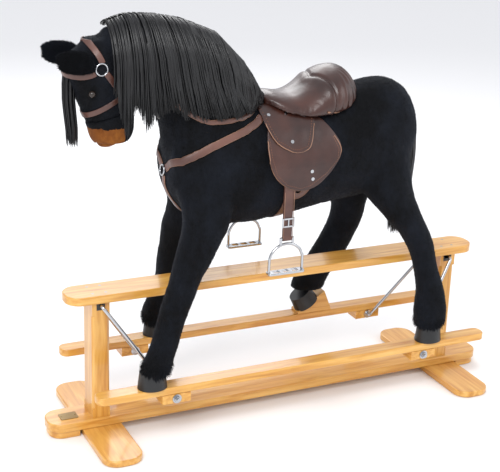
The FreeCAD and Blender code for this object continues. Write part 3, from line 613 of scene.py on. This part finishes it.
def mane_route(root, layer):
    """From the crest over to the near side, leaning back towards the withers as it falls."""
    top = between(MANE, root)[0]
    sweep = min(1.0, max(0.0, (root - MANE_ROOTS[0]) / MANE_SWEEP))
    lean = MANE_LEAN * math.sin(math.pi * sweep) + random.uniform(-8, 8)
    tip = max(MANE_BACK, root - lean)
    hem = between(MANE, tip)[1] + random.uniform(-12, 12) + 5 * math.sin(tip / 7.5)
    mid = max(hem, top - MANE_FALL)
    points = []
    for i in range(OVER + DOWN):
        x = root + (tip - root) * (i / (OVER + DOWN - 1)) ** 1.4
        wide = between(MANE, x)[2] - layer
        if i < OVER:
            turn = math.radians(START_TURN + WHOLE_TURN * i / (OVER - 1))
            low = mid + (top - layer - mid) * math.cos(turn)
            points.append((x, wide * math.sin(turn), low))
        else:
            points.append((x, wide, low + (hem - low) * (i - OVER + 1) / DOWN))
    return [Vector(p) / 1000 for p in points]


routes = []
for layer, count in MANE_LAYERS:
    routes += [mane_route(random.uniform(*MANE_ROOTS), layer + random.uniform(-1, 1))
               for _ in range(count)]
strands("mane_hair", "mane", routes, 0.0032)

FORELOCK_DEEP, FORELOCK_WIDE = 0.014, 0.016
low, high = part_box("forelock")
routes = []
for _ in range(150):
    deep, wide = disc()
    x = (low.x + high.x) / 2 + deep * FORELOCK_DEEP
    y = wide * FORELOCK_WIDE
    end = low.z + random.uniform(0, 0.018)
    routes.append([Vector((x + 0.004 * math.sin(5 * t), y * (1 + 0.25 * t), high.z - (high.z - end) * t))
                   for t in (0, 0.2, 0.4, 0.6, 0.8, 1.0)])
strands("forelock_hair", "forelock", routes, 0.0022)

# Each row of the tail: z, middle x, half depth and half width, in mm.
TAIL = [(425, -347, 17, 16), (500, -352, 25, 27), (580, -361, 25, 33), (660, -368, 22, 33),
        (740, -364, 23, 28), (800, -346, 20, 18)]
TAIL_TOP = TAIL[-1][0]
TAIL_ENDS = (428, 500)
routes = []
for _ in range(420):
    deep, wide = disc()
    end = random.uniform(*TAIL_ENDS)
    route = []
    for i in range(11):
        z = TAIL_TOP + (end - TAIL_TOP) * i / 10
        mid, half_depth, half_width = between(TAIL, z)
        route.append(Vector((mid + half_depth * deep, half_width * wide, z)) / 1000)
    routes.append(route)
strands("tail_hair", "tail", routes, 0.0028)

# --- the saddle ----------------------------------------------------------
seat = grown_from("seat_leather", ["saddle_seat"], 0.0045, 8)
inflated(seat, 4.0, 18, 0.005)
seat.modifiers.new("finer", "SUBSURF").levels = 1
apply_modifiers(seat)
PUCKER_CENTRE = -0.095
PUCKERS = 30
PUCKER_FRONT, PUCKER_FADE = -0.128, 0.018
WELT_X = -0.058


def gathers(p):
    """Short puckers round the cantle's rim, the welt where it meets the seat, and soft creases."""
    angle = math.atan2(p.y, PUCKER_CENTRE - p.x)
    behind = max(0.0, min(1.0, (PUCKER_FRONT - p.x + 0.35 * abs(p.y)) / PUCKER_FADE))
    pucker = 0.0011 * behind * math.sin(angle * PUCKERS)
    welt = p.x - WELT_X + 0.30 * abs(p.y)
    groove = -0.0042 * dip(welt, 0.004) + 0.0018 * dip(welt - 0.012, 0.01)
    return pucker + groove + 0.0008 * noise.noise(Vector((p.x * 22, p.y * 40, p.z * 20)))


pushed(seat, gathers)
RIM = [(-60, 98, 816), (-100, 88, 818), (-139, 72, 823), (-168, 48, 832), (-182, 22, 838),
       (-186, 0, 840)]
PIPING_R = 0.0024
seat_tree = tree_of(seat)
welt_line = []
for p in RIM + mirrored(RIM[-2::-1]):
    at, out, _, _ = seat_tree.find_nearest(Vector(p) / 1000)
    welt_line.append(at + out * PIPING_R)
tube("seat_piping", smooth_line(welt_line, 90), PIPING_R, "carriage", 8)
panels = grown_from("saddle_felt", ["saddle_panels"], 0.003, 6)
pushed(panels, lumps(0.0007, 60))

FLAP = [(111, 764), (109, 718), (95, 671), (64, 639), (23, 625), (-7, 630), (-56, 662), (-88, 701),
        (-91, 728), (-75, 764)]
SKIRT = [(110, 828), (104, 788), (89, 754), (48, 728), (28, 725), (-1, 734), (-19, 779), (-30, 808)]
PANEL_OUT = 130
for side, word in ((1, "near"), (-1, "far")):
    for part, outline in (("flap", FLAP), ("skirt", SKIRT)):
        panel = grown_from(f"{word}_{part}_leather", [f"{word}_{part}"], 0.0013, 3)
        pushed(panel, lumps(0.0006, 38))
        stitching(f"{word}_{part}_stitches", outline, panel, side)
        tree = tree_of(panel)
        edge = smooth_line([Vector((x, side * PANEL_OUT, z)) / 1000 for x, z in outline], 80)
        tube(f"{word}_{part}_edge", [tree.find_nearest(p)[0] for p in edge], 0.0012, "carriage")

# --- straps --------------------------------------------------------------
REIN = [(436, 70, 944), (400, 70, 902), (358, 75, 861), (310, 90, 829), (259, 98, 809),
        (203, 100, 809), (148, 85, 820), (118, 60, 836), (92, 30, 846), (88, 0, 850)]
BREAST = [(336, 14, 680), (319, 30, 692), (290, 60, 716), (251, 85, 743), (206, 100, 766),
          (162, 105, 786), (125, 98, 808), (106, 90, 826)]
LOWER = [(340, 0, 658), (331, 2, 640), (314, 4, 600), (292, 4, 570), (240, 0, 540)]
GIRTH_END = [(44, 118, 622), (30, 117, 606), (14, 116, 598), (0, 118, 606), (-8, 120, 618)]
REIN_WIDTH, BREAST_WIDTH, GIRTH_END_WIDTH = 10, 17, 16
plush_tree = tree_of(skin)
whole_rein = REIN + mirrored(REIN[-2::-1])
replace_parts(draped("reins_strap", plush_tree, whole_rein, REIN_WIDTH, 150), "reins")
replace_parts(draped("breast_strap_near", plush_tree, BREAST, BREAST_WIDTH), "breast_straps")
draped("breast_strap_far", plush_tree, mirrored(BREAST), BREAST_WIDTH)
draped("breast_strap_lower", plush_tree, LOWER, BREAST_WIDTH)
draped("girth_loose_end", plush_tree, GIRTH_END, GIRTH_END_WIDTH, 30)

LEATHER_TOP = 0.625
LEATHER_FOOT = 0.008
for name in ("near_leather", "far_leather"):
    low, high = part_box(name)
    outer_y = high.y if high.y > 0 else low.y
    for end in (low.x, high.x):
        heights = (low.z + LEATHER_FOOT, (low.z + high.z) / 2, LEATHER_TOP)
        path = smooth_line([Vector((end, outer_y, z)) for z in heights], 12)
        tube(f"{name}_edge_{round(end * 1000)}", path, 0.0008, BODY[name])
for name in ("girth", "crownpiece", "browband", "throat_strap", "noseband", "near_leather",
             "far_leather"):
    grown_from(name + "_strap", [name], 0.00105, 2)

# --- camera, light and floor ---------------------------------------------
CAMERA_AT = Vector((1.38701, 2.67262, 1.51514))
FORWARD = Vector((-0.411075, -0.848985, -0.332028))
UP = Vector((-0.111263, -0.314776, 0.942622))
camera = placed("camera", bpy.data.cameras.new("camera"))
camera.data.lens = 86.66
camera.data.sensor_width = 36.0
camera.data.sensor_fit = "HORIZONTAL"
turn = Matrix((FORWARD.cross(UP), UP, -FORWARD)).transposed().to_4x4()
camera.matrix_world = Matrix.Translation(CAMERA_AT) @ turn
bpy.context.scene.camera = camera

HORSE_MIDDLE = Vector((0, 0, 0.5))


def lamp(name, place, size, power):
    """A soft square light that points at the middle of the horse."""
    light = bpy.data.lights.new(name, "AREA")
    light.size = size
    light.energy = power
    obj = placed(name, light)
    obj.location = place
    obj.rotation_euler = (HORSE_MIDDLE - Vector(place)).to_track_quat("-Z", "Y").to_euler()


lamp("key", (2.2, 2.4, 3.4), 2.2, 120)
lamp("fill", (-3.0, 2.0, 2.0), 2.5, 30)
lamp("rim", (-0.8, -3.0, 2.8), 2.0, 45)
world = bpy.data.worlds.new("studio")
world.use_nodes = True
background = world.node_tree.nodes["Background"]
background.inputs["Color"].default_value = (0.95, 0.96, 1.0, 1)
background.inputs["Strength"].default_value = 0.92
bpy.context.scene.world = world
bpy.context.scene.view_settings.view_transform = "Standard"

FLOOR = 14.0
FLOOR_Z = -0.001
mesh = bpy.data.meshes.new("floor")
corners = ((-FLOOR, -FLOOR), (FLOOR, -FLOOR), (FLOOR, FLOOR), (-FLOOR, FLOOR))
mesh.from_pydata([(x, y, FLOOR_Z) for x, y in corners], [], [(0, 1, 2, 3)])
floor = placed("floor", mesh)
paper, tree, bsdf = shader("paper", (0.9, 0.9, 0.9), 0.85)
tooth = texture(tree, "ShaderNodeTexNoise", 300.0, Detail=2.0)
bumped(tree, bsdf, tooth.outputs["Fac"], 0.03, 0.0004)
dress(floor, paper)
